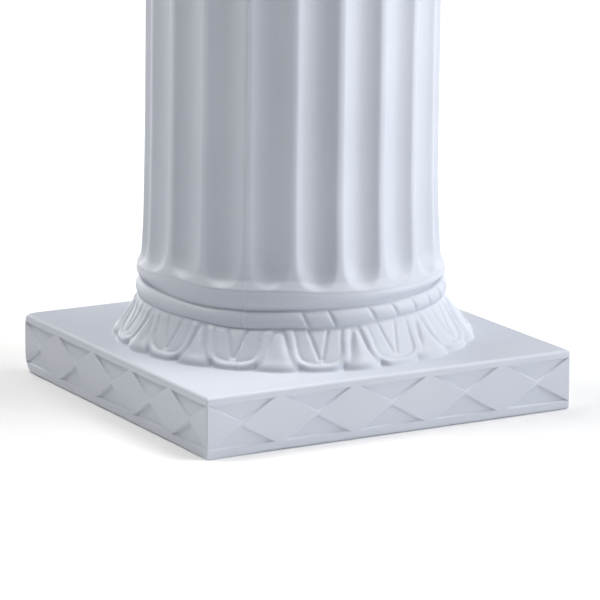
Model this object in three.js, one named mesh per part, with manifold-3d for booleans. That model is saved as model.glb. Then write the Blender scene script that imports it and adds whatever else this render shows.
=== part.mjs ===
// A decorative column of moulded plastic, in millimetres, +Z up, standing on z = 0.
// From the floor up it has a square plinth with diamonds on its sides, a ring of leaves,
// a rope, a lip, a fluted shaft, and a plain capital that mirrors the foot.
import * as THREE from "three";
import { mergeVertices } from "three/addons/utils/BufferGeometryUtils.js";
import Module from "manifold-3d";

// Whole column
const totalHeight = 880;
const plainColumns = 48;
const slabSide = 260.4;
const slabHeight = 38.8;
const slabCorner = 1.2;
const slabEdge = 2.2;
const overlap = 3;

// Diamonds on the sides of the plinth: what lies between them is sunk
const diamondPitch = 53;
const nodesPerSide = 5;
const diamondTip = 5;
const sunkDepth = 1.3;
const sunkBevel = 1.4;
const sunkTop = 34;
const sunkBottom = 6.4;
const nodeHeight = 19.6;
const nodeGap = 1;

// Ring of leaves: a flare, carved with broad leaves and a dart between each two.
// flareProfile goes from its foot, hidden in the plinth, to its top, hidden in the rope.
const leaves = 13;
const leafTurn = -123.97;
const flareProfile = [
  [107, slabHeight - overlap],
  [109.4, 40.4],
  [110, 43.4],
  [108.4, 47.2],
  [105, 51.8],
  [101.6, 56.3],
  [99.4, 61.5],
  [97.4, 67],
];
const sideSpread = 5;
const flareLip = 43.4;
const flareLow = 48;
const flareTop = 64;

// Lines that run down the leaf ring, from the crest of a dart to the middle of a leaf.
// at is how far round they lie, in parts of half a leaf's pitch, and rise how far they stand
// out: each near the top, low down, and at the lip.
const leafLines = {
  dartCrest: { at: [0, 0, 0], rise: [0.3, 3.4, 3.4] },
  dartEdge: { at: [0.05, 0.25, 0.42], rise: [0, 2.2, 2.6] },
  gap: { at: [0.09, 0.33, 0.48], rise: [-0.3, -0.8, -1.4] },
  rim: { at: [0.22, 0.47, 0.64], rise: [2.4, 2.8, 3.2] },
  lobe: { at: [0.37, 0.68, 0.8], rise: [1.5, 1.6, 3.3] },
  groove: { at: [0.7, 0.93, 0.92], rise: [0, 0.3, 3.3] },
  middle: { at: [1, 1, 1], rise: [1.6, 1.4, 3.3] },
};

// Rope above the leaves
const strands = 36;
const ropeRadius = 95.5;
const ropeHeight = 69.3;
const ropeThickness = 5.2;
const ropeGroove = 0.9;
const ropeSlant = 3.8;
const ropeRows = 4;

// Lip between the rope and the shaft, from the hollow below it up to the axis
const lipProfile = [
  [98.6, 75.2],
  [95.9, 79],
  [98.4, 82.4],
  [99.2, 85],
  [98.9, 86.8],
  [94, 87.4],
  [0, 87.4],
];

// Shaft and its flutes
const shaftRadius = 93.8;
const flutes = 20;
const ridgeTurn = -136.4;
const fluteWidth = 25.6;
const fluteDepth = 5;
const fluteFoot = 101;
const facetsPerFlute = 5;
const rowAboveFoot = 48;
const spread = 2.1;
const spreadReach = 30;
const coveTop = 93;
const coveSlope = 0.39;
const shaftFoot = 85.4;
const shaftFootRadius = 98.4;

// Plain moulding of the capital, drawn as it would stand at the foot
const capitalProfile = [
  [0, slabHeight - overlap],
  [113, slabHeight - overlap],
  [114.5, 40.6],
  [114.2, 44],
  [107.2, 51.6],
  [101.6, 60],
  [98.8, 65.4],
  [100.3, 69.6],
  ...lipProfile,
];

// Sunk band round the top slab, between two plain rims
const bandInset = 1.2;
const bandBottom = 6.4;
const bandTop = 33;

const plastic = new THREE.MeshStandardMaterial({ color: 0xf1f3f6, roughness: 0.45, metalness: 0 });
const degree = Math.PI / 180;
const wasm = await Module();
wasm.setup();

// Closed solid of a geometry, with shared points merged and empty faces dropped
function solidOf(geometry) {
  geometry.deleteAttribute("normal");
  geometry.deleteAttribute("uv");
  const merged = mergeVertices(geometry, 1e-4);
  const corners = merged.index.array;
  const triVerts = [];
  for (let i = 0; i < corners.length; i += 3) {
    const [a, b, c] = corners.subarray(i, i + 3);
    if (a !== b && b !== c && c !== a) triVerts.push(a, b, c);
  }
  const mesh = new wasm.Mesh({
    numProp: 3,
    vertProperties: merged.attributes.position.array,
    triVerts: new Uint32Array(triVerts),
  });
  return new wasm.Manifold(mesh);
}

// Geometry of a solid, for its mesh
function geometryOf(solid) {
  const { vertProperties, triVerts } = solid.getMesh();
  const geometry = new THREE.BufferGeometry();
  geometry.setAttribute("position", new THREE.BufferAttribute(vertProperties, 3));
  geometry.setIndex(new THREE.BufferAttribute(triVerts, 1));
  geometry.computeVertexNormals();
  return geometry;
}

// Turned solid. profile is [radius, height] from the axis, up the outside and back to the axis.
// place may move a point: it gives back the angle, radius or height that it changes.
function turned(profile, columns, place = () => ({})) {
  const points = profile.map(([radius, height]) => new THREE.Vector2(radius, height));
  const geometry = new THREE.LatheGeometry(points, columns);
  const position = geometry.attributes.position;
  for (let column = 0; column <= columns; column++) {
    points.forEach(({ x, y }, row) => {
      const angle = (column / columns) * 2 * Math.PI;
      const spot = { angle, radius: x, height: y };
      if (x > 0) Object.assign(spot, place(column % columns, row, spot));
      const across = spot.radius * Math.cos(spot.angle);
      const along = spot.radius * Math.sin(spot.angle);
      position.setXYZ(column * points.length + row, across, along, spot.height);
    });
  }
  return solidOf(geometry);
}

// The same solid at the other end of the column
function atTheTop(solid) {
  return solid.mirror([0, 0, 1]).translate([0, 0, totalHeight]);
}

// Square outline of a given half side, with corners rounded to a radius
function square(reach, corner) {
  const outline = new THREE.Shape();
  for (let quarter = 0; quarter < 4; quarter++) {
    const turn = (quarter * Math.PI) / 2;
    const centre = new THREE.Vector2(reach - corner, reach - corner);
    centre.rotateAround(new THREE.Vector2(), turn);
    outline.absarc(centre.x, centre.y, corner, turn, turn + Math.PI / 2);
  }
  return outline;
}

// Square slab with rounded corners and edges, standing on z = 0
function slab() {
  const reach = slabSide / 2;
  const edged = new THREE.ExtrudeGeometry(square(reach - slabEdge, 0), {
    depth: slabHeight - 2 * slabEdge,
    curveSegments: 1,
    bevelThickness: slabEdge,
    bevelSize: slabEdge,
    bevelSegments: 2,
  });
  edged.translate(0, 0, slabEdge);
  const prism = new THREE.ExtrudeGeometry(square(reach, slabCorner), {
    depth: slabHeight + 2 * overlap,
    curveSegments: 3,
    bevelEnabled: false,
  });
  prism.translate(0, 0, -overlap);
  return solidOf(edged).intersect(solidOf(prism));
}

// Cutter for one sunk triangle of the front side, with its base at a rim and its tip at a node.
// Its ends are the triangle on the face, grown and shrunk about the centre of its inner circle.
function sunkTriangle(left, right, node, rim, tip) {
  const corners = [[left, rim], [right, rim], [node, tip]].map(([x, y]) => new THREE.Vector2(x, y));
  if (rim > tip) corners.reverse();
  const lengths = corners.map((_, k) => corners[(k + 1) % 3].distanceTo(corners[(k + 2) % 3]));
  const around = lengths[0] + lengths[1] + lengths[2];
  const centre = new THREE.Vector2();
  corners.forEach((corner, k) => centre.addScaledVector(corner, lengths[k] / around));
  const innerCircle = (Math.abs(rim - tip) * (right - left)) / around;
  const outline = new THREE.Shape(corners.map((corner) => corner.sub(centre)));
  const geometry = new THREE.ExtrudeGeometry(outline, { depth: 2 * sunkDepth, bevelEnabled: false });
  geometry.translate(0, 0, -sunkDepth);
  const position = geometry.attributes.position;
  for (let i = 0; i < position.count; i++) {
    const grow = 1 + (sunkBevel / innerCircle) * Math.sign(position.getZ(i));
    position.setXY(i, position.getX(i) * grow, position.getY(i) * grow);
  }
  geometry.rotateX(Math.PI / 2);
  geometry.translate(centre.x, -slabSide / 2, centre.y);
  return solidOf(geometry);
}

// Plinth: the slab with diamonds left standing on its four sides
function plinth() {
  const reach = slabSide / 2 - slabCorner;
  const cutters = [];
  for (let k = 0; k < nodesPerSide; k++) {
    const node = (k - (nodesPerSide - 1) / 2) * diamondPitch;
    const halfBase = (diamondPitch - diamondTip) / 2;
    const left = Math.max(node - halfBase, -reach);
    const right = Math.min(node + halfBase, reach);
    cutters.push(sunkTriangle(left, right, node, sunkTop, nodeHeight + nodeGap / 2));
    cutters.push(sunkTriangle(left, right, node, sunkBottom, nodeHeight - nodeGap / 2));
  }
  let solid = slab();
  for (let quarter = 0; quarter < 4; quarter++) {
    for (const cutter of cutters) {
      solid = solid.subtract(cutter.rotate([0, 0, 90 * quarter]));
    }
  }
  return solid;
}

// Top slab: the same slab with a plain sunk band round its sides
function topSlab() {
  const ring = new THREE.BoxGeometry(2 * slabSide, 2 * slabSide, bandTop - bandBottom);
  const core = new THREE.BoxGeometry(slabSide - 2 * bandInset, slabSide - 2 * bandInset, slabHeight);
  ring.translate(0, 0, (bandTop + bandBottom) / 2);
  core.translate(0, 0, slabHeight / 2);
  return slab().subtract(solidOf(ring).subtract(solidOf(core)));
}

// A leaf line's value at a height, between its values near the top, low down and at the lip
function alongLine([top, low, lip], height) {
  const { lerp, inverseLerp, clamp } = THREE.MathUtils;
  if (height > flareLow) return lerp(low, top, clamp(inverseLerp(flareLow, flareTop, height), 0, 1));
  return lerp(lip, low, clamp(inverseLerp(flareLip, flareLow, height), 0, 1));
}

function leafRing() {
  const lines = Object.values(leafLines);
  const perLeaf = 2 * (lines.length - 1);
  const halfPitch = Math.PI / leaves;
  const profile = [[0, flareProfile[0][1]], ...flareProfile, [0, flareProfile.at(-1)[1]]];
  const place = (column, row, { radius, height }) => {
    const leaf = Math.floor(column / perLeaf);
    const step = column % perLeaf;
    const farHalf = step > perLeaf / 2;
    const line = lines[farHalf ? perLeaf - step : step];
    const fromDart = alongLine(line.at, height) * halfPitch;
    const fromStart = farHalf ? 2 * halfPitch - fromDart : fromDart;
    const angle = leafTurn * degree + 2 * leaf * halfPitch + fromStart;
    const lower = THREE.MathUtils.clamp((flareTop - height) / (flareTop - flareLip), 0, 1);
    const side = sideSpread * lower ** 2 * Math.sin(angle - ridgeTurn * degree) ** 2;
    return { angle, radius: radius + alongLine(line.rise, height) + side };
  };
  return turned(profile, perLeaf * leaves, place);
}

// Rope: a ring whose strands are parted by slanting grooves
function rope() {
  const profile = [[0, ropeHeight - ropeThickness]];
  for (let row = 0; row < ropeRows; row++) {
    const turn = (row / (ropeRows - 1) - 0.5) * Math.PI;
    const radius = ropeRadius + ropeThickness * Math.cos(turn);
    profile.push([radius, ropeHeight + ropeThickness * Math.sin(turn)]);
  }
  profile.push([0, ropeHeight + ropeThickness]);
  const place = (column, row, { angle, radius, height }) => {
    const lean = ((ropeHeight - height) / (2 * ropeThickness)) * ropeSlant * degree;
    const groove = column % 2 ? 0 : ropeGroove;
    return { angle: angle + lean, radius: radius - groove };
  };
  return turned(profile, 2 * strands, place);
}

// How far out the shaft's ridges stand at a height, up to the middle of the column
function ridgeRadius(height) {
  const wide = spread * Math.exp(-(height - fluteFoot) / spreadReach);
  return shaftRadius + wide + coveSlope * Math.max(0, coveTop - height);
}

// Shaft, with flutes that end in half circles. The columns lie on the half circle's corners,
// and the rows near each end are at the heights of those corners.
function shaft() {
  const halfWidth = fluteWidth / 2;
  const corners = Array.from({ length: facetsPerFlute + 1 }, (_, k) => (k * Math.PI) / facetsPerFlute);
  const footRows = [0, 1, 2].map((k) => fluteFoot - halfWidth * Math.sin(corners[k]));
  const rows = [...footRows.reverse(), fluteFoot + rowAboveFoot];
  const low = rows.map((height) => [ridgeRadius(height), height]);
  const high = low.map(([radius, height]) => [radius, totalHeight - height]).reverse();
  const foot = [[0, shaftFoot], [shaftFootRadius, shaftFoot]];
  const head = foot.map(([radius, height]) => [radius, totalHeight - height]).reverse();
  const place = (column, row, { radius, height }) => {
    const flute = Math.floor(column / corners.length);
    const corner = corners[column % corners.length];
    const across = -Math.cos(corner);
    const fromEnd = Math.min(height, totalHeight - height);
    const below = Math.max(0, fluteFoot - fromEnd) / halfWidth;
    const inside = Math.max(0, 1 - across ** 2 - below ** 2);
    const middle = ((flute + 0.5) * 2 * Math.PI) / flutes;
    const angle = ridgeTurn * degree + middle + (across * halfWidth) / shaftRadius;
    return { angle, radius: radius - fluteDepth * Math.sqrt(inside) };
  };
  return turned([...foot, ...low, ...high, ...head], flutes * corners.length, place);
}

const parts = [
  plinth(),
  leafRing(),
  rope(),
  turned([[0, ropeHeight], ...lipProfile], plainColumns),
  shaft(),
  atTheTop(turned(capitalProfile, plainColumns)),
  atTheTop(topSlab()),
];
const joined = parts.reduce((whole, part) => whole.add(part));

const column = new THREE.Group();
const body = new THREE.Mesh(geometryOf(joined), plastic);
body.name = "column";
column.add(body);

export default column;
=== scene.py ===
import math

import bmesh
import bpy
import numpy as np
from mathutils import Matrix, Vector
from mathutils.geometry import delaunay_2d_cdt


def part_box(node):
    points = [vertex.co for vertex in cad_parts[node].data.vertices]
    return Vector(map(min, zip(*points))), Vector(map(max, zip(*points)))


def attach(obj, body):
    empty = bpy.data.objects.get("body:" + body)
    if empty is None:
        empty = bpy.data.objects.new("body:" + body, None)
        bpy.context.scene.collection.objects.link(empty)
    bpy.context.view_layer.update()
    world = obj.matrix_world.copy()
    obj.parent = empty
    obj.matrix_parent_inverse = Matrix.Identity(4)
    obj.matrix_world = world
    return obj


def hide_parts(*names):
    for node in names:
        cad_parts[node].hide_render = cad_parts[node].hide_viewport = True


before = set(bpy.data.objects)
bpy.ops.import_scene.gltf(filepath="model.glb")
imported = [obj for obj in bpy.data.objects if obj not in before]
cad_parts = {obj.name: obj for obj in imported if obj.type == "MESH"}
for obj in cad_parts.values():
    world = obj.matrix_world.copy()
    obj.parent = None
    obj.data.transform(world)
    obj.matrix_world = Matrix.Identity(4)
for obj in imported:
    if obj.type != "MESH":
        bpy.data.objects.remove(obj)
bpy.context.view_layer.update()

# A decorative column of moulded plastic. The scene is in metres. The sizes below are in
# millimetres, with z up from the floor, and angles round the column are in degrees from the
# side that faces the camera, counted to the right.
MM = 0.001
column_low, column_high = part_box("column")
total_height = (column_high.z - column_low.z) / MM
slab_side = (column_high.x - column_low.x) / MM
facing = -118.95

# Camera, fitted to the edges of the plinth
camera_azimuth = -29.05
camera_pan = 0.0044
camera_elevation = 12.84
camera_roll = 0.094
camera_place = (-1.1946, -2.1624, 0.6225)
camera_lens = 235.5

# Plinth
slab_height = 38.8
slab_edge = 2.2
# Upright corners, from the one nearest the camera to the right and round
corner_radii = (0.9, 0.9, 2.0, 3.4)
smallest_radius = 0.12
# Corners whose tip is rounder: signs of x and y, 1 at the top of the slab, reach and share
soft_corners = ((-1, 1, 0, 11.0, 0.22), (-1, 1, 1, 8.0, 0.15))
soft_corner_power = 1.5
# The near corner is sharp along its lower edge
sharp_corner_start = 4
sharp_corner_reach = 45.0
sharp_corner_edge = 0.2
edge_steps = 4
corner_steps = 4
wall_steps = 6
side_steps = 48
# Grid of points that keeps the triangles of the flat faces from growing long
face_grid_steps = 12
face_grid_gap = 4

# Diamonds on the sides of the plinth: what lies between them is sunk
diamond_pitch = 53.0
nodes_per_side = 5
diamond_tip = 5.0
sunk_depth = 1.4
sunk_top = 34.0
sunk_bottom = 5.6
node_height = 19.8
node_gap = 1.0
diamond_end_gap = 0.6
# Lines along the bevel of a sunk triangle, by their distance inside its edge, and the gap
# that they keep from the ends of the side
bevel_lines = (-0.15, 0.1, 0.6, 1.1, 1.35)
bevel_line_gap = 0.02

# Sunk band round the slab on top
band_inset = 1.2
band_bottom = 6.4
band_top = 33.0
band_bevel = 1.4
band_rounding = 0.15
band_rounding_share = 0.2

# Ring of leaves: its plain flare from the plinth up to the rope
flare_points = (
    (114.4, 38.8), (113.0, 39.3), (111.8, 40.4), (110.4, 42.2), (108.9, 44.6), (107.0, 47.8),
    (104.6, 51.8), (102.3, 56.0), (100.2, 60.2), (98.4, 64.4),
)
flare_top = 64.4
# Heights, and how far the flare widens there away from the mould seam
left_spread = ((38.8, 0.2), (44.0, 0.2), (50.0, 0.0), (58.0, -0.6), (64.4, 0.0))
right_spread = ((38.8, 3.0), (44.0, 2.8), (50.0, 1.8), (58.0, 1.3), (64.4, 0.0))
seam_turn = -17.2

# Darts and the middles of leaves, one after the other, where the photograph shows them.
# The rest of the ring is shared out evenly.
leaf_marks = (-60.8, -46.1, -33.3, -19.5, -4.2, 9.7, 23.5, 36.1, 51.8, 66.5)
leaves = 13
half_pitch = 25.6

# One leaf, measured across from its middle and down from the rope along the surface
rim_points = (
    (20.0, -1.0), (18.8, 4.0), (17.6, 10.0), (16.8, 16.0), (15.6, 20.5), (12.6, 24.4),
    (7.0, 26.6), (0.0, 27.1),
)
rim_spacing = 1.2
rim_half_width = 2.9
rim_rise_down = (2, 22)
rim_rise = (1.5, 2.4)
rim_blend = (-0.6, 0.8)
rim_power = 0.6
leaf_level = 0.5
leaf_pillow = 0.5
leaf_pillow_reach = 3.0
fold_top = (7.4, -1.0)
fold_foot = (1.0, 21.3)
fold_depth = 0.5
fold_width = 0.8
gap_level = 0.5
dart_down = (4.0, 7.0, 9.8, 14.0, 18.0, 21.5, 24.5, 27.0, 29.5)
dart_half_width = (0.8, 2.4, 3.3, 4.6, 6.0, 8.2, 11.0, 14.0, 17.0)
dart_rise = (1.2, 1.9, 2.4, 2.9, 3.1, 3.2, 3.0, 2.8, 2.6)
dart_blend = (2.8, 5.5)
dart_powers = (2.2, 0.8)
# The dart beside the middle of the picture is wider than the others
wide_dart = 4
wide_dart_extra = 1.4
wide_dart_blend = (3.5, 6)
# Where the relief fades out under the rope and over the plinth
relief_start = (-0.8, 4.4)
relief_end = 7.0
# How far the tips of leaves and darts reach out over the plinth, and between which heights
tip_down = 27.5
tip_level = 2.0
tip_reach = 2.4
tip_heights = (46, 39.5)

# Rope above the leaves
rope_inner = 96.8
rope_foot = 98.4
rope_outer = 100.1
rope_turn = 67
rope_blend = 8
# Heights of the rope's upper and lower edge, by the angle round the column. It dips at the seam.
rope_top_marks = (
    (-95, 77.0), (-60, 76.8), (-46, 74.8), (-34, 73.5), (-16, 73.6), (0, 74.8), (30, 75.2),
    (60, 76.8), (90, 78.0), (128, 76.4), (163, 74.2), (198, 76.0),
)
rope_bottom_marks = (
    (-95, 65.6), (-60, 65.9), (-46, 65.4), (-36, 64.8), (-22, 62.8), (-10, 63.2), (0, 64.4),
    (8, 63.2), (20, 63.4), (32, 65.0), (60, 65.8), (90, 66.0), (163, 64.0),
)
strand_marks = (5.3, 15.1, 30.9)
strand_pitch = 10.0
strand_lean = 3.6
strand_depth = 1.0
strand_width = 0.75
strand_crown = 0.45
strand_crown_reach = 4.0
# Left of the seam the rope is smooth
plain_rope_middle = -50
plain_rope_reach = 45
plain_rope_blend = 7
# Width, in degrees, over which values round the column are smoothed
smoothing = 13

# Lip between the rope and the shaft
crease_height = 75.0
crease_blend = 7
# How far the crease goes in, more at the sides, and the heights above it where that ends
crease_depth_blend = (5, 1)
crease_marks = (
    (-95, -2.2), (-75, -1.6), (-55, 0.0), (55, 0.0), (75, -1.6), (95, -2.2), (163, 0.0),
)
lip_points = (
    (97.2, 75.0), (96.8, 75.6), (97.0, 76.5), (97.8, 77.7), (98.7, 79.0), (99.25, 80.3),
    (99.5, 81.4), (99.5, 82.3), (99.4, 83.0), (99.2, 83.7), (99.05, 84.3), (99.1, 84.9),
)
# How much higher the lip lies by the angle round the column: most left of the seam
lip_marks = (
    (-95, 0.0), (-70, 1.2), (-52, 4.2), (-46, 4.0), (-33, 1.4), (-20, 1.8), (-8, 2.4), (2, 2.2),
    (12, 0.9), (22, 0.3), (31, 0.0), (95, 0.0),
)
lip_share_up = (77, 83)
lip_share_down = (135, 90)

# Shaft and its flutes
shaft_start = 85.4
shaft_radius = 93.8
flutes = 20
flute_half_width = 12.8
flute_depth = 5.2
flute_foot = 98.4
flute_round = 2.0
flute_edge = 0.6
flute_ramp = 16.0
flute_ramp_power = 1.8
# Rounding of the ridges: offsets across and their shares
ridge_rounding = ((-1.6, 0.1), (-0.8, 0.23), (0, 0.34), (0.8, 0.23), (1.6, 0.1))
spread = 2.1
spread_reach = 30.0
cove_top = 90.9
cove_slope = 0.39
bow_start = 140.0
shaft_bow = 2.4
shaft_offset = -0.35
shaft_offset_blend = 25

# Plain moulding of the capital, drawn as it would stand at the foot
capital_points = (
    (99.3, 86.7), (99.2, 85.3), (98.4, 84.4), (97.8, 83.4), (97.0, 81.6), (96.1, 79.6),
    (96.0, 77.6), (97.2, 75.9), (99.2, 74.2), (100.4, 71.4), (100.4, 68.4), (99.2, 65.6),
    (99.2, 63.4), (101.6, 60.0), (104.4, 55.8), (107.6, 51.6), (111.6, 47.0), (114.2, 44.0),
    (114.8, 41.8), (114.0, 39.9), (113.0, 38.8),
)

# Steps of the turned surface
shaft_step = 0.92
fine_rows_past_flute_foot = 1.2
shaft_rows_above = (104, 108, 113, 120, 130, 142, 156, 172, 192, 216, 244, 276, 314, 358, 400)
ridge_columns = (0.5, 1.2)
flute_columns = (-0.15, 0.3, 0.8, 1.4, 2.2, 3.3, 4.8, 6.7, 8.8, 10.9)
foot_columns = 780
seam_columns = 6
seam_column_turn = 0.22
capital_columns = 260
flare_spacing = 0.85
rope_rows = 13
lip_spacing = 0.7
capital_spacing = 1.9

# Mould seam, which fades out over its clearance at the slabs
seam_rise = 0.5
seam_half_width = 0.45
seam_clearance = 2

# Satin plastic
plastic_ior = 1.49
tint_low = (0.56, 0.59, 0.665, 1)
tint_high = (0.59, 0.62, 0.695, 1)
gloss_range = (0.42, 0.52)
noise_range = (0.3, 0.7)
wave_strength, wave_distance = 0.25, 0.0006
grain_strength, grain_distance = 0.12, 0.0001

# Lamps: angle from the camera, elevation, power and colour
lamp_aim = (0, 0, 0.2)
lamp_distance = 2.5
lamp_size = 1.2
lamps = (
    ("right_above", 90, 62, 41, (1, 0.99, 0.95)),
    ("left_above", -97, 62, 49, (1, 0.99, 0.95)),
    ("right_low", 85, 8, 27, (0.95, 0.97, 1)),
    ("right_front", 60, 35, 15, (0.95, 0.97, 1)),
    ("left_behind", -150, 8, 12, (1, 1, 1)),
    ("right_behind", 150, 8, 9, (1, 1, 1)),
    ("behind_above", -168, 52, 11, (1, 1, 1)),
)

# Floor, which glows more with the distance from the column, and the room
floor_reach = 14
floor_colour = (0.77, 0.77, 0.78, 1)
floor_roughness = 0.9
glow_distances = (0.5, 2.0)
glow_strengths = (0.05, 0.5)
room_colour = (0.93, 0.96, 1, 1)
room_strength = 0.02


def smooth_step(value, start, end):
    t = np.clip((value - start) / (end - start), 0, 1)
    return t * t * (3 - 2 * t)


def bell(value, width):
    return np.exp(-((value / width) ** 2))


def pillow(value, width):
    """Rises from 0 at an edge to 1 at that width inside it."""
    t = np.clip(value / width, 0, 1)
    return t * (2 - t)


def spline(points, spacing, fineness=24):
    """A smooth curve through the points, in even steps of about that spacing."""
    p = np.array(points, float)
    p = np.vstack((2 * p[0] - p[1], p, 2 * p[-1] - p[-2]))
    t = np.linspace(0, 1, fineness, endpoint=False)[:, None]
    parts = []
    for a, b, c, d in zip(p, p[1:], p[2:], p[3:]):
        parts.append(
            b + 0.5 * t * (c - a + t * (2 * a - 5 * b + 4 * c - d + t * (3 * (b - c) + d - a)))
        )
    fine = np.vstack((*parts, p[-2:-1]))
    along = np.concatenate(([0], np.cumsum(np.hypot(*np.diff(fine, axis=0).T))))
    steps = max(1, round(along[-1] / spacing))
    at = np.linspace(0, along[-1], steps + 1)
    return np.stack([np.interp(at, along, fine[:, k]) for k in (0, 1)], 1)


def distance_to_path(x, y, path):
    """Distance of every point from a line through the path's points."""
    nearest = np.full(np.broadcast(x, y).shape, np.inf)
    for (ax, ay), (bx, by) in zip(path, path[1:]):
        lx, ly = bx - ax, by - ay
        t = np.clip(((x - ax) * lx + (y - ay) * ly) / (lx * lx + ly * ly), 0, 1)
        nearest = np.minimum(nearest, np.hypot(x - ax - t * lx, y - ay - t * ly))
    return nearest


def turn_from(turn, mark):
    """Signed angle from the mark, from -180 to 180."""
    return (turn - mark + 180) % 360 - 180


class Skin:
    """Points, in millimetres, and faces of one closed surface."""

    def __init__(self):
        self.points = []
        self.faces = []
        self.count = 0

    def add(self, points):
        """Adds points and gives back their numbers, in the same layout."""
        points = np.asarray(points, float)
        numbers = self.count + np.arange(points[..., 0].size).reshape(points.shape[:-1])
        self.points.append(points.reshape(-1, 3))
        self.count += numbers.size
        return numbers

    def strip(self, low, high):
        """Quads between two open rows of the same number of points."""
        self.faces.extend(zip(low[:-1], low[1:], high[1:], high[:-1]))

    def bridge(self, low, high):
        """Quads between two closed loops of the same number of points."""
        self.strip(np.append(low, low[0]), np.append(high, high[0]))

    def stitch(self, low, high):
        """Triangles between two closed loops of different numbers of points."""
        i = j = 0
        while i < len(low) or j < len(high):
            a, b = low[i % len(low)], high[j % len(high)]
            if j == len(high) or (i < len(low) and (i + 1) / len(low) <= (j + 1) / len(high)):
                i += 1
                self.faces.append((a, low[i % len(low)], b))
            else:
                j += 1
                self.faces.append((a, high[j % len(high)], b))

    def fill(self, flat, numbers, loops, lines, extra, place, skip=None):
        """Triangles over a flat outline. flat and numbers are the points that are there, and
        loops closed runs of them. lines are more point rows to keep as edges, extra lone
        points, and place turns new flat points into points of the surface. Triangles whose
        middle skip holds true are left out."""
        coords = [tuple(p) for p in flat]
        edges = []
        for loop in loops:
            edges.extend(zip(loop, [*loop[1:], loop[0]]))
        for line in lines:
            first = len(coords)
            coords.extend(tuple(p) for p in line)
            edges.extend((k, k + 1) for k in range(first, len(coords) - 1))
        coords.extend(tuple(p) for p in extra)
        edges = [(int(a), int(b)) for a, b in edges]
        made, _, triangles, origin, _, _ = delaunay_2d_cdt(
            [Vector(c) for c in coords], edges, [], 1, 1e-5
        )
        ids = np.full(len(made), -1)
        for k, found in enumerate(origin):
            known = [n for n in found if n < len(flat)]
            if known:
                ids[k] = numbers[known[0]]
        fresh = np.nonzero(ids < 0)[0]
        if len(fresh):
            ids[fresh] = self.add(place(np.array([made[k] for k in fresh], float)))
        for triangle in triangles:
            centre = sum((made[k] for k in triangle), Vector((0, 0))) / 3
            if skip is None or not skip(centre):
                self.faces.append(tuple(ids[k] for k in triangle))


def leaf_position(turn):
    """Whole numbers at the darts, even, and at the middles of leaves, odd."""
    first = leaf_marks[0]
    known = [mark - first for mark in leaf_marks]
    return np.interp((turn - first) % 360, [*known, 360], [*range(len(known)), 2 * leaves])


rim_line = spline(rim_points, rim_spacing)


def leaf_relief(turn, down, length, faded=True):
    """How far the leaves and darts stand out from the flare, which has that length from the
    rope down to the plinth. Unless faded, the relief keeps its height at both ends."""
    position = leaf_position(turn)
    from_middle = position % 2 - 1
    across = np.abs(from_middle) * half_pitch
    to_rim = distance_to_path(across, down, rim_line)
    rim_across = np.interp(down, rim_line[:, 1], rim_line[:, 0])
    inside = (across < rim_across) & (down < rim_line[-1, 1])
    to_rim_signed = np.where(inside, to_rim, -to_rim)

    fold = (fold_top, fold_foot)
    to_fold = distance_to_path(across, down, fold)
    fold_across = np.interp(down, *zip(*[point[::-1] for point in fold]))
    clear = np.minimum(to_fold, np.maximum(0, to_rim_signed - rim_half_width))
    clear = np.where(across < fold_across, to_fold, clear)
    leaf = leaf_level + leaf_pillow * pillow(clear, leaf_pillow_reach)
    leaf = leaf - fold_depth * bell(to_fold, fold_width)

    from_dart = half_pitch - across
    nearest_dart = np.round(position / 2) * 2 % (2 * leaves)
    widen = np.where(nearest_dart == wide_dart, wide_dart_extra, 0)
    widen = widen * smooth_step(down, *wide_dart_blend)
    half_width = np.interp(down, dart_down, dart_half_width, left=0) + widen
    start = smooth_step(down, *dart_blend)
    rise = np.interp(down, dart_down, dart_rise)
    crown = np.clip(1 - (from_dart / half_width) ** dart_powers[0], 0, 1) ** dart_powers[1]
    outside = gap_level + (rise - gap_level) * crown * start

    level = outside + (leaf - outside) * smooth_step(to_rim_signed, *rim_blend)
    roll = np.clip(1 - (to_rim / rim_half_width) ** 2, 0, 1) ** rim_power
    relief = level + (np.interp(down, rim_rise_down, rim_rise) - level) * roll
    fade = smooth_step(down, *relief_start) * pillow(length - down, relief_end)
    return relief * fade if faded else relief


def strand_relief(turn, up):
    """Slanting grooves between the strands of the rope. up goes from -1 to 1 over the rope.
    They show on the right of the seam, as in the photograph, and behind."""
    turn = turn + strand_lean * up / 2
    marks = list(strand_marks)
    while marks[-1] + 1.5 * strand_pitch < strand_marks[0] + 360:
        marks.append(marks[-1] + strand_pitch)
    nearest = np.full(turn.shape, 360.0)
    for mark in marks:
        off = turn_from(turn, mark)
        nearest = np.where(np.abs(off) < np.abs(nearest), off, nearest)
    across = np.radians(nearest) * rope_outer
    crown = strand_crown * pillow(np.abs(across), strand_crown_reach)
    groove = strand_depth * (crown - bell(across, strand_width))
    from_plain_middle = np.abs(turn_from(turn, plain_rope_middle))
    plain_rope_end = plain_rope_reach + plain_rope_blend
    shown = smooth_step(from_plain_middle, plain_rope_reach, plain_rope_end)
    return groove * shown * np.clip(1 - up ** 2, 0, 1) ** 0.5


def around(turn, marks):
    """A smooth value round the column, through marks of angle and value."""
    fine = np.arange(-180, 180)
    angles, values = zip(*marks)
    rough = np.interp(fine, angles, values, period=360)
    window = np.hanning(smoothing)
    smooth = np.convolve(np.tile(rough, 3), window / window.sum(), "same")[360:720]
    return np.interp(turn, fine, smooth, period=360)


def foot_turns():
    """Angles of the columns of points, closer together at the mould seam and opposite it."""
    half = foot_columns // 2
    near = seam_columns * seam_column_turn
    steps = (-half, seam_columns - half, -seam_columns, seam_columns, half - seam_columns, half)
    turns = (-180, near - 180, -near, near, 180 - near, 180)
    return seam_turn + np.interp(np.arange(-half, half), steps, turns)


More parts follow.
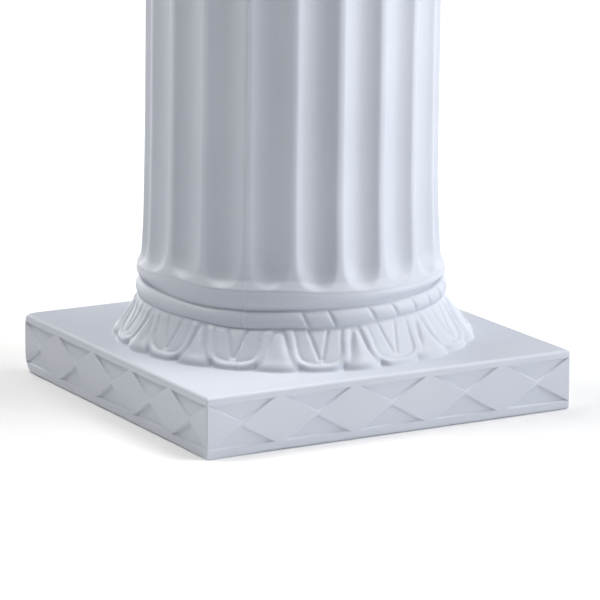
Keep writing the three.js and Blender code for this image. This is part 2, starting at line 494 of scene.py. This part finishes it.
def seam_relief(turn, radius):
    """The raised line of the mould seam, on both sides of the column."""
    off = np.abs((turn - seam_turn + 90) % 180 - 90)
    return seam_rise * bell(np.radians(off) * radius, seam_half_width)


def turned_rows(profile, turns, relief):
    """Points of a turned surface whose profile goes up. relief is measured along its normal."""
    slope = np.gradient(profile, axis=0)
    normal = np.stack((slope[:, 1], -slope[:, 0]), 1)
    normal /= np.linalg.norm(normal, axis=1, keepdims=True)
    radius = profile[:, :1] + relief * normal[:, :1]
    height = profile[:, 1:] + relief * normal[:, 1:]
    angle = np.radians(facing + turns)[None, :]
    return np.stack((radius * np.cos(angle), radius * np.sin(angle), height + 0 * angle), -1)


def foot_rows(turns):
    """Leaf ring, rope and lip, from the plinth up."""
    flare = spline(flare_points, flare_spacing)
    steps = np.hypot(*np.diff(flare, axis=0).T)
    up = np.concatenate(([0], np.cumsum(steps)))
    down = (up[-1] - up)[:, None]
    relief = leaf_relief(turns[None, :], down, up[-1])
    left, right = (np.interp(flare[:, 1:], *zip(*marks)) for marks in (left_spread, right_spread))
    across = np.sin(np.radians(turns - seam_turn))
    side = np.where(across < 0, left, right) * across ** 2
    tips = leaf_relief(turns[None, :], np.array([[tip_down]]), up[-1], faded=False) - tip_level
    side = side + tip_reach * tips * smooth_step(flare[:, 1:], *tip_heights)
    clear_of_foot = smooth_step(up, 0, seam_clearance)[:, None]
    relief = relief + seam_relief(turns[None, :], flare[:, :1]) * clear_of_foot
    leaf_rows = turned_rows(flare, turns, relief)
    angle = np.radians(facing + turns)
    leaf_rows[..., 0] += side * np.cos(angle)
    leaf_rows[..., 1] += side * np.sin(angle)

    bottom, top = around(turns, rope_bottom_marks), around(turns, rope_top_marks)
    near_rope = smooth_step(flare[:, 1:], flare_top - rope_blend, flare_top)
    leaf_rows[..., 2] += near_rope * (bottom - flare_top)

    at = np.radians(np.linspace(-rope_turn, rope_turn, rope_rows))[:, None]
    bulge = (np.cos(at) - math.cos(at[0, 0])) / (1 - math.cos(at[0, 0]))
    up = np.sin(at) / math.sin(at[-1, 0])
    inner = np.where(at < 0, rope_foot, rope_inner + around(turns, crease_marks))
    radius = inner + (rope_outer - inner) * bulge
    radius = radius + strand_relief(turns[None, :], up) + seam_relief(turns[None, :], radius)
    height = (top + bottom) / 2 + up * (top - bottom) / 2
    rope = np.stack((radius * np.cos(angle), radius * np.sin(angle), height), -1)

    lip = spline(lip_points, lip_spacing)
    lip_rows = turned_rows(lip, turns, seam_relief(turns[None, :], lip[:, :1]))
    near_rope = smooth_step(lip[:, 1:], crease_height + crease_blend, crease_height)
    lip_rows[..., 2] += near_rope * (top - crease_height)
    above_crease = lip[:, 1:] - crease_height
    deeper = around(turns, crease_marks) * smooth_step(above_crease, *crease_depth_blend)
    lip_rows[..., 0] += deeper * np.cos(angle)
    lip_rows[..., 1] += deeper * np.sin(angle)
    return np.concatenate((leaf_rows, rope[1:], lip_rows[1:]))


def flute_turns():
    """Angles of the columns of points on the shaft, closer together near each flute's edges."""
    ridge = math.pi * shaft_radius / flutes
    half = [ridge, *(ridge - d for d in ridge_columns)]
    half += [flute_half_width - d for d in flute_columns]
    across = np.array([-v for v in half] + [0.0] + half[:0:-1])
    one = np.degrees(across / shaft_radius)
    pitch = 360 / flutes
    return np.concatenate([seam_turn + pitch * (k + 0.5) + one for k in range(flutes)])


def flute_relief(turn, height):
    """How far the shaft is hollowed. Each flute ends in a half circle, at both ends."""
    pitch = 360 / flutes
    from_end = np.minimum(height, total_height - height)
    middle_off = (turn - seam_turn) % pitch - pitch / 2
    relief = 0
    for offset, share in ridge_rounding:
        across = np.abs(np.radians(middle_off) * shaft_radius + offset) / flute_half_width
        across = np.minimum(across, 1)
        from_foot = from_end - flute_foot + flute_half_width * np.sqrt(1 - across ** 2)
        bowl = 1 - across ** flute_round
        ramp = 1 - (1 - np.clip(from_foot / flute_ramp, 0, 1)) ** flute_ramp_power
        edge = np.maximum(0, np.minimum((1 - across) * flute_half_width, from_foot))
        relief = relief - share * flute_depth * bowl * ramp * (1 - np.exp(-edge / flute_edge))
    return relief


def ridge_radius(height):
    """Radius of the ridges between the flutes, which spread out towards the lip."""
    wide = spread * np.exp(-(height - flute_foot) / spread_reach)
    return shaft_radius + wide + cove_slope * np.maximum(0, cove_top - height)


def shaft_rows(turns):
    foot = np.arange(shaft_start, flute_foot + fine_rows_past_flute_foot, shaft_step)
    low = np.concatenate((foot, shaft_rows_above))
    heights = np.concatenate((low, [total_height / 2], total_height - low[::-1]))
    from_end = np.minimum(heights, total_height - heights)
    profile = np.stack((ridge_radius(from_end), heights), 1)
    relief = flute_relief(turns[None, :], profile[:, 1:])
    relief = relief + seam_relief(turns[None, :], profile[:, :1])
    return turned_rows(profile, turns, relief)


def capital_rows(turns):
    drawn = spline(capital_points, capital_spacing)
    profile = np.stack((drawn[:, 0], total_height - drawn[:, 1]), 1)
    clear_of_head = smooth_step(np.arange(len(profile))[::-1], 0, seam_clearance)[:, None]
    relief = seam_relief(turns[None, :], profile[:, :1]) * clear_of_head
    return turned_rows(profile, turns, relief)


def square_loop(inset, height):
    """Square loop with round corners, as four sides. Each side has its straight points and
    then those of the corner after it, without the next side's first."""
    sides = []
    for k in range(4):
        turn = np.array(((0, 1), (-1, 0)))
        along = np.linalg.matrix_power(turn.T, k) @ (1, 0)
        out = np.linalg.matrix_power(turn.T, k) @ (0, -1)
        reach = slab_side / 2 - inset
        radii = (corner_radii[n % 4] - inset for n in (k, k + 1))
        left, right = (max(radius, smallest_radius) for radius in radii)
        straight = np.linspace(-reach + left, reach - right, side_steps + 1)
        flat = [u * along + reach * out for u in straight]
        for step in range(1, corner_steps):
            a = math.pi / 2 * step / corner_steps
            u = reach - right + right * math.sin(a)
            v = reach - right + right * math.cos(a)
            flat.append(u * along + v * out)
        sides.append([(*p, height) for p in flat])
    return np.array(sides)


def sharper(loop):
    """The lower edge's loop, drawn towards a sharp edge near the corner nearest the camera."""
    half = slab_side / 2
    from_corner = np.hypot(loop[..., 0] + half, loop[..., 1] + half)[..., None]
    keep = smooth_step(from_corner, sharp_corner_start, sharp_corner_reach)
    keep = sharp_corner_edge + (1 - sharp_corner_edge) * keep
    flat = loop[..., :2]
    inset = half - np.abs(flat)
    moved = np.sign(flat) * (half - keep * inset)
    flat = np.where(inset <= slab_edge + corner_radii[0], moved, flat)
    return np.concatenate((flat, loop[..., 2:] * keep), -1)


def rounding(up):
    """Insets and heights of the loops round an edge of the slab, from the bottom up."""
    turns = np.linspace(0, math.pi / 2, edge_steps + 1)
    inset = slab_edge * (1 - np.sin(turns))
    height = slab_edge * (1 - np.cos(turns))
    if up:
        return list(zip(inset[::-1], slab_height - height[::-1]))
    return list(zip(inset, height))


def sunk_triangles():
    """Corners of the sunk triangles of one side."""
    reach = slab_side / 2 - diamond_end_gap
    found = []
    for k in range(nodes_per_side):
        node = (k - (nodes_per_side - 1) / 2) * diamond_pitch
        half = (diamond_pitch - diamond_tip) / 2
        left, right = max(node - half, -reach), min(node + half, reach)
        for rim, sign in ((sunk_top, 1), (sunk_bottom, -1)):
            tip = node_height + sign * node_gap / 2
            found.append(np.array(((left, rim), (right, rim), (node, tip))))
    return found


def inner_distance(triangle, flat):
    """Distance of flat points inside a triangle's edges, negative outside."""
    centre = triangle.mean(0)
    nearest = np.full(len(flat), np.inf)
    for a, b in zip(triangle, np.roll(triangle, -1, axis=0)):
        normal = np.array((-(b - a)[1], (b - a)[0])) / np.linalg.norm(b - a)
        normal = normal * np.sign((centre - a) @ normal)
        nearest = np.minimum(nearest, (flat - a) @ normal)
    return nearest


def outline_inside(triangle, distance):
    """The triangle's outline moved inwards by a distance, closed."""
    opposite = np.roll(triangle, -1, axis=0) - np.roll(triangle, 1, axis=0)
    lengths = np.linalg.norm(opposite, axis=1)
    centre = lengths @ triangle / lengths.sum()
    radius = inner_distance(triangle, centre[None, :])[0]
    moved = centre + (triangle - centre) * (1 - distance / radius)
    return np.vstack((moved, moved[:1]))


def diamond_depth(flat):
    """How far a side of the plinth is sunk at flat points."""
    depth = np.zeros(len(flat))
    for triangle in sunk_triangles():
        sunk = smooth_step(inner_distance(triangle, flat), bevel_lines[0], bevel_lines[-1])
        depth = np.maximum(depth, sunk_depth * sunk)
    return depth


def plinth(skin, foot_loop, foot_flat):
    """Plinth from the middle of its underside up to the foot of the leaf ring."""
    low = [skin.add(sharper(square_loop(*level))) for level in rounding(up=False)]
    high = [skin.add(square_loop(*level)) for level in rounding(up=True)]
    for a, b in (*zip(low, low[1:]), *zip(high, high[1:])):
        skin.bridge(a.ravel(), b.ravel())
    wall_heights = np.linspace(slab_edge, slab_height - slab_edge, wall_steps + 1)
    walls = [low[-1], *[None] * (wall_steps - 1), high[0]]
    for k in range(1, wall_steps):
        loop = square_loop(0, wall_heights[k])
        numbers = np.full(loop.shape[:2], -1)
        numbers[:, side_steps:] = skin.add(loop[:, side_steps:])
        numbers[:, 0] = skin.add(loop[:, 0])
        walls[k] = numbers
    for a, b in zip(walls, walls[1:]):
        for side in range(4):
            corner_a = np.append(a[side, side_steps:], a[(side + 1) % 4, 0])
            corner_b = np.append(b[side, side_steps:], b[(side + 1) % 4, 0])
            skin.strip(corner_a, corner_b)

    lines = [
        outline_inside(triangle, distance)
        for triangle in sunk_triangles()
        for distance in bevel_lines
    ]
    for side in range(4):
        turn = math.pi / 2 * side
        along = np.array((math.cos(turn), math.sin(turn)))
        out = np.array((math.sin(turn), -math.cos(turn)))
        numbers = [*walls[0][side, : side_steps + 1]]
        numbers += [w[side, side_steps] for w in walls[1:-1]]
        numbers += [*walls[-1][side, : side_steps + 1][::-1]]
        numbers += [w[side, 0] for w in walls[-2:0:-1]]
        points = np.vstack(skin.points)[numbers]
        flat = np.stack((points[:, :2] @ along, points[:, 2]), 1)
        left, right = flat[-1, 0], flat[side_steps + 1, 0]
        kept = []
        for line in lines:
            line = line.copy()
            line[:, 0] = np.clip(line[:, 0], left + bevel_line_gap, right - bevel_line_gap)
            kept.append(line)

        def place(new, along=along, out=out):
            depth = slab_side / 2 - diamond_depth(new)
            flat_places = new[:, :1] * along + depth[:, None] * out
            return np.column_stack((flat_places, new[:, 1]))

        skin.fill(flat, numbers, [list(range(len(numbers)))], kept, [], place)

    slab_face(skin, low[0].ravel(), 0.0)
    slab_face(skin, high[-1].ravel(), slab_height, foot_loop, foot_flat)


def slab_face(skin, outer, height, inner=None, inner_flat=None):
    """Flat face of a slab, with a hole inside the loop inner where that is given."""
    flat = np.vstack(skin.points)[outer][:, :2]
    numbers = list(outer)
    loops = [list(range(len(outer)))]
    if inner is not None:
        loops.append(list(range(len(outer), len(outer) + len(inner))))
        flat = np.vstack((flat, inner_flat))
        numbers += list(inner)
    grid_half = face_grid_steps // 2
    grid = np.arange(1 - grid_half, grid_half) * slab_side / face_grid_steps
    x, y = np.meshgrid(grid, grid)
    extra = np.stack((x.ravel(), y.ravel()), 1)
    if inner is not None:
        extra = extra[np.hypot(*extra.T) > np.hypot(*inner_flat.T).max() + face_grid_gap]

    def place(new):
        return np.column_stack((new, np.full(len(new), height)))

    def in_hole(point):
        angles = np.arctan2(inner_flat[:, 1], inner_flat[:, 0])
        radii = np.hypot(*inner_flat.T)
        edge = np.interp(math.atan2(point.y, point.x), angles, radii, period=2 * math.pi)
        return point.length < edge

    skip = None if inner is None else in_hole
    skin.fill(flat, numbers, loops, [], extra, place, skip=skip)


def top_slab(skin, head_loop, head_flat):
    """Slab on top, with a sunk band round its sides, drawn as it would stand at the foot."""
    def upside(level):
        loop = square_loop(*level)
        loop[..., 2] = total_height - loop[..., 2]
        return loop

    low, high = band_rounding_share * band_bevel, (1 - band_rounding_share) * band_bevel
    near, far = band_rounding, band_inset - band_rounding
    levels = rounding(up=False)
    levels += [(0, band_bottom - band_bevel), (near, band_bottom - high)]
    levels += [(far, band_bottom - low), (band_inset, band_bottom)]
    levels += [(band_inset, (band_bottom + band_top) / 2), (band_inset, band_top)]
    levels += [(far, band_top + low), (near, band_top + high)]
    levels += [(0, band_top + band_bevel)]
    levels += rounding(up=True)
    loops = [skin.add(upside(level)) for level in levels]
    for a, b in zip(loops[1:], loops):
        skin.bridge(a.ravel(), b.ravel())
    slab_face(skin, loops[0].ravel(), total_height)
    slab_face(skin, loops[-1].ravel(), total_height - slab_height, head_loop, head_flat)


def deformed(points):
    """Small departures of the moulding from its drawing: the shaft stands a little to one
    side and bows a little, the lip lies higher here and there, and the corners of the plinth
    are unlike each other."""
    p = points.copy()
    sideways = math.radians(camera_azimuth)
    right = np.array((math.cos(sideways), math.sin(sideways)))
    reach = total_height / 2 - bow_start
    from_middle = np.abs(p[:, 2] - total_height / 2)
    bow = shaft_bow * np.cos(math.pi / 2 * np.clip(from_middle / reach, 0, 1))
    from_end = total_height / 2 - from_middle
    in_shaft = smooth_step(from_end, slab_height, slab_height + shaft_offset_blend)
    p[:, :2] += (bow + shaft_offset * in_shaft)[:, None] * right
    turn = np.degrees(np.arctan2(p[:, 1], p[:, 0])) - facing
    near_lip = smooth_step(p[:, 2], *lip_share_up) * smooth_step(p[:, 2], *lip_share_down)
    p[:, 2] += around(turn, lip_marks) * near_lip
    for sign_x, sign_y, up, reach, share in soft_corners:
        inner = np.array((sign_x * slab_side / 2, sign_y * slab_side / 2, slab_height * up))
        inner -= np.array((sign_x, sign_y, 2 * up - 1)) * reach
        into = (p - inner) * (sign_x, sign_y, 2 * up - 1)
        near = np.prod(np.clip(into / reach, 0, 1), axis=1) ** soft_corner_power
        near[p[:, 2] > slab_height] = 0
        p -= (p - inner) * (share * near)[:, None]
    return p


def column_mesh():
    """The whole column as one closed surface."""
    skin = Skin()
    turns = foot_turns()
    rows = [skin.add(row) for row in foot_rows(turns)]
    foot_flat = skin.points[0][:, :2]
    for a, b in zip(rows, rows[1:]):
        skin.bridge(a, b)
    plinth(skin, rows[0], foot_flat)

    turns = flute_turns()
    start = np.argmin((turns - foot_turns()[0]) % 360)
    turns = np.roll(turns, -start)
    shaft = [skin.add(row) for row in shaft_rows(turns)]
    skin.stitch(rows[-1], shaft[0])
    for a, b in zip(shaft, shaft[1:]):
        skin.bridge(a, b)

    turns = turns[0] + np.arange(capital_columns) * 360 / capital_columns
    made = capital_rows(turns)
    head = [skin.add(row) for row in made]
    skin.stitch(shaft[-1], head[0])
    for a, b in zip(head, head[1:]):
        skin.bridge(a, b)
    top_slab(skin, head[-1], made[-1][:, :2])

    points = deformed(np.vstack(skin.points)) * MM
    mesh = bpy.data.meshes.new("moulded_column")
    mesh.from_pydata(points.tolist(), [], [tuple(int(n) for n in f) for f in skin.faces])
    mesh.validate()
    return mesh


def turn_outwards(mesh):
    """Turns all faces of a closed mesh outwards."""
    b = bmesh.new()
    b.from_mesh(mesh)
    bmesh.ops.recalc_face_normals(b, faces=b.faces)
    if b.calc_volume() < 0:
        bmesh.ops.reverse_faces(b, faces=b.faces)
    b.to_mesh(mesh)
    b.free()


def plastic():
    """Satin white plastic: a faint grain, slow waves from moulding and uneven gloss."""
    material = bpy.data.materials.new("white_plastic")
    material.use_nodes = True
    nodes, links = material.node_tree.nodes, material.node_tree.links
    shader = nodes["Principled BSDF"]
    shader.inputs["IOR"].default_value = plastic_ior
    shader.inputs["Subsurface Weight"].default_value = 0.0
    coordinates = nodes.new("ShaderNodeTexCoord")

    def noise(scale, detail, roughness):
        node = nodes.new("ShaderNodeTexNoise")
        node.inputs["Scale"].default_value = scale
        node.inputs["Detail"].default_value = detail
        node.inputs["Roughness"].default_value = roughness
        links.new(coordinates.outputs["Object"], node.inputs["Vector"])
        return node.outputs["Fac"]

    def between(value, low, high):
        node = nodes.new("ShaderNodeMapRange")
        node.inputs["From Min"].default_value = noise_range[0]
        node.inputs["From Max"].default_value = noise_range[1]
        node.inputs["To Min"].default_value = low
        node.inputs["To Max"].default_value = high
        links.new(value, node.inputs["Value"])
        return node.outputs["Result"]

    tint = nodes.new("ShaderNodeMix")
    tint.data_type = "RGBA"
    tint.inputs["A"].default_value = tint_low
    tint.inputs["B"].default_value = tint_high
    links.new(between(noise(14, 3, 0.5), 0, 1), tint.inputs["Factor"])
    links.new(tint.outputs["Result"], shader.inputs["Base Color"])
    links.new(between(noise(35, 4, 0.6), *gloss_range), shader.inputs["Roughness"])

    waves = nodes.new("ShaderNodeBump")
    waves.inputs["Strength"].default_value = wave_strength
    waves.inputs["Distance"].default_value = wave_distance
    links.new(noise(30, 1, 0.4), waves.inputs["Height"])
    grain = nodes.new("ShaderNodeBump")
    grain.inputs["Strength"].default_value = grain_strength
    grain.inputs["Distance"].default_value = grain_distance
    links.new(noise(1400, 2, 0.5), grain.inputs["Height"])
    links.new(waves.outputs["Normal"], grain.inputs["Normal"])
    links.new(grain.outputs["Normal"], shader.inputs["Normal"])
    return material


def backwards(azimuth, elevation):
    """Direction from the column towards a camera or a lamp."""
    a, e = math.radians(azimuth), math.radians(elevation)
    return Vector((math.sin(a) * math.cos(e), -math.cos(a) * math.cos(e), math.sin(e)))


def camera_matrix(azimuth, elevation, roll, place):
    r = math.radians(roll)
    back = backwards(azimuth, elevation)
    level = (-back).cross(Vector((0, 0, 1))).normalized()
    above = level.cross(-back)
    right = math.cos(r) * level + math.sin(r) * above
    up = math.cos(r) * above - math.sin(r) * level
    matrix = Matrix((right, up, back)).transposed().to_4x4()
    matrix.translation = Vector(place)
    return matrix


def make_camera():
    data = bpy.data.cameras.new("camera")
    data.lens = camera_lens
    data.sensor_width = 36
    data.clip_end = 100
    camera = bpy.data.objects.new("camera", data)
    camera.matrix_world = camera_matrix(
        camera_azimuth + camera_pan, camera_elevation, camera_roll, camera_place
    )
    bpy.context.scene.collection.objects.link(camera)
    bpy.context.scene.camera = camera


def make_light(name, azimuth, elevation, power, colour):
    """Square soft light that looks at the foot of the column, placed as seen from the camera."""
    back = backwards(camera_azimuth + azimuth, elevation)
    data = bpy.data.lights.new(name, "AREA")
    data.energy = power
    data.size = lamp_size
    data.color = colour
    light = bpy.data.objects.new(name, data)
    light.location = Vector(lamp_aim) + back * lamp_distance
    light.rotation_euler = back.to_track_quat("Z", "Y").to_euler()
    bpy.context.scene.collection.objects.link(light)


def make_stage():
    mesh = bpy.data.meshes.new("floor")
    signs = ((-1, -1), (1, -1), (1, 1), (-1, 1))
    corners = [(x * floor_reach, y * floor_reach, 0) for x, y in signs]
    mesh.from_pydata(corners, [], [(0, 1, 2, 3)])
    floor = bpy.data.objects.new("floor", mesh)
    material = bpy.data.materials.new("pale_floor")
    material.use_nodes = True
    shader = material.node_tree.nodes["Principled BSDF"]
    shader.inputs["Base Color"].default_value = floor_colour
    shader.inputs["Roughness"].default_value = floor_roughness
    shader.inputs["Emission Color"].default_value = (1, 1, 1, 1)
    # The floor stays white up to the top edge of the picture, where the lamps reach it less
    nodes, links = material.node_tree.nodes, material.node_tree.links
    coordinates = nodes.new("ShaderNodeTexCoord")
    distance = nodes.new("ShaderNodeVectorMath")
    distance.operation = "LENGTH"
    links.new(coordinates.outputs["Object"], distance.inputs[0])
    glow = nodes.new("ShaderNodeMapRange")
    for name, value in zip(("From Min", "From Max"), glow_distances):
        glow.inputs[name].default_value = value
    for name, value in zip(("To Min", "To Max"), glow_strengths):
        glow.inputs[name].default_value = value
    links.new(distance.outputs["Value"], glow.inputs["Value"])
    links.new(glow.outputs["Result"], shader.inputs["Emission Strength"])
    mesh.materials.append(material)
    bpy.context.scene.collection.objects.link(floor)
    world = bpy.data.worlds.new("studio")
    world.use_nodes = True
    background = world.node_tree.nodes["Background"]
    background.inputs["Color"].default_value = room_colour
    background.inputs["Strength"].default_value = room_strength
    bpy.context.scene.world = world
    bpy.context.scene.view_settings.view_transform = "Standard"


make_camera()
column = bpy.data.objects.new("moulded_column", column_mesh())
bpy.context.scene.collection.objects.link(column)
turn_outwards(column.data)
column.data.materials.append(plastic())
column.data.shade_smooth()
normals = column.modifiers.new("normals", "WEIGHTED_NORMAL")
normals.keep_sharp = True
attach(column, "root")
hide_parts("column")

for lamp in lamps:
    make_light(*lamp)
make_stage()
